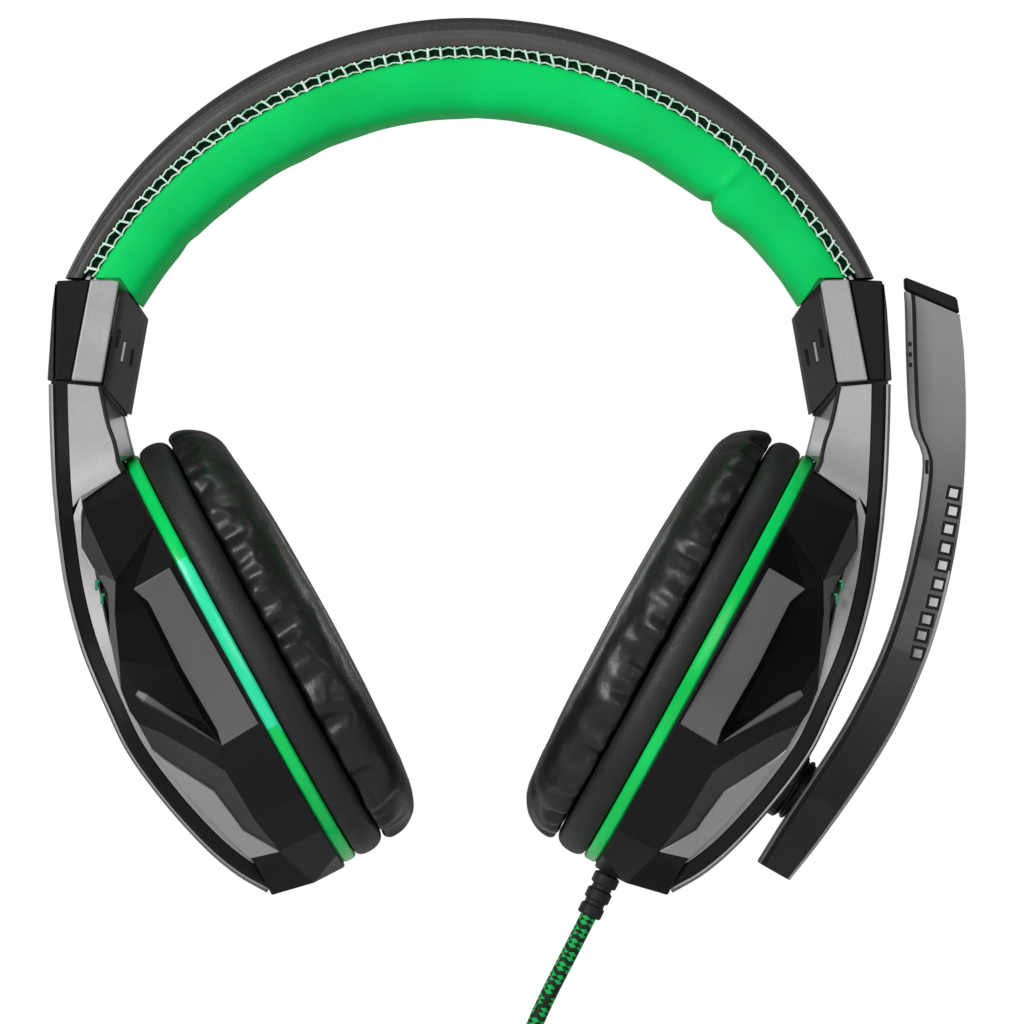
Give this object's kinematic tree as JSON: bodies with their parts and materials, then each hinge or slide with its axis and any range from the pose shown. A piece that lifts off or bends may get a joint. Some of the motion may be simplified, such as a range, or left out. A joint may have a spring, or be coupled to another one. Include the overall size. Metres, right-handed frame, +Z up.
{
  "type": "gaming headset",
  "caption": "Over-ear gaming headset with padded headband, sliding arms, oval ear cups with a green light ring, swivelling boom microphone and braided cord.",
  "frame": {"origin": "middle of the underside of the headband pad, where the head or a stand holds the headset up", "axes": "+Z up, the wearer faces -Y, the wearer's left ear with the microphone and the cord is at +X"},
  "size_m": [0.2105, 0.0864, 0.4],
  "materials": {
    "cover_leather": "satin grained",
    "green_fabric": "matte",
    "black_leather": "satin wrinkled",
    "black_plastic": "satin",
    "dark_plastic": "matte",
    "silver_paint": "satin metallic paint",
    "boom_plastic": "gloss",
    "green_light": "gloss translucent",
    "circuit_board": "gloss",
    "speaker_cloth": "matte open weave",
    "steel": "brushed",
    "black_rubber": "matte",
    "braid": "braided, green with black",
    "tie_fabric": "matte hook and loop"
  },
  "bodies": {
    "headband": {"headband_cover": "cover_leather", "headband_spring": "steel", "headband_pad": "green_fabric", "end_cap_outer_left": "black_plastic", "end_cap_side_left": "silver_paint", "end_cap_facet_left": "silver_paint", "end_cap_sleeve_left": "dark_plastic", "cap_screw_left_upper": "steel", "cap_screw_left_lower": "steel", "end_cap_outer_right": "black_plastic", "end_cap_side_right": "silver_paint", "end_cap_facet_right": "silver_paint", "end_cap_sleeve_right": "dark_plastic", "cap_screw_right_upper": "steel", "cap_screw_right_lower": "steel"},
    "cup_left": {"size_rail_left": "steel", "arm_frame_left": "silver_paint", "back_plate_left": "black_plastic", "side_skin_left": "silver_paint", "cup_housing_left": "black_plastic", "led_window_left": "green_light", "led_board_left": "circuit_board", "light_ring_left": "green_light", "cushion_skirt_left": "black_leather", "ear_cushion_left": "black_leather", "ear_mesh_left": "speaker_cloth", "baffle_left": "dark_plastic", "speaker_driver_left": "steel", "mic_socket": "dark_plastic", "strain_relief": "black_rubber", "cord_lead": "braid", "cord_hank": "braid", "cord_tail": "braid", "cord_tie": "tie_fabric", "usb_grip": "black_rubber", "usb_shell": "steel"},
    "cup_right": {"size_rail_right": "steel", "arm_frame_right": "silver_paint", "back_plate_right": "black_plastic", "side_skin_right": "silver_paint", "cup_housing_right": "black_plastic", "led_window_right": "green_light", "led_board_right": "circuit_board", "light_ring_right": "green_light", "cushion_skirt_right": "black_leather", "ear_cushion_right": "black_leather", "ear_mesh_right": "speaker_cloth", "baffle_right": "dark_plastic", "speaker_driver_right": "steel"},
    "mic_boom": {"mic_pivot": "dark_plastic", "boom_shell": "boom_plastic", "boom_inner_shell": "dark_plastic", "boom_tip": "black_plastic", "mic_capsule": "steel"}
  },
  "joints": [
    {"name": "size_slide_left", "type": "slide", "parent": "headband", "child": "cup_left", "axis": [0.1, 0, -0.995], "range_m": [0, 0.02]},
    {"name": "size_slide_right", "type": "slide", "parent": "headband", "child": "cup_right", "axis": [-0.1, 0, -0.995], "range_m": [0, 0.02]},
    {"name": "mic_swivel", "type": "hinge", "parent": "cup_left", "child": "mic_boom", "pos_m": [0.0739, 0, -0.1536], "axis": [0.8499, 0, -0.527], "range_deg": [0, 125]}
  ]
}
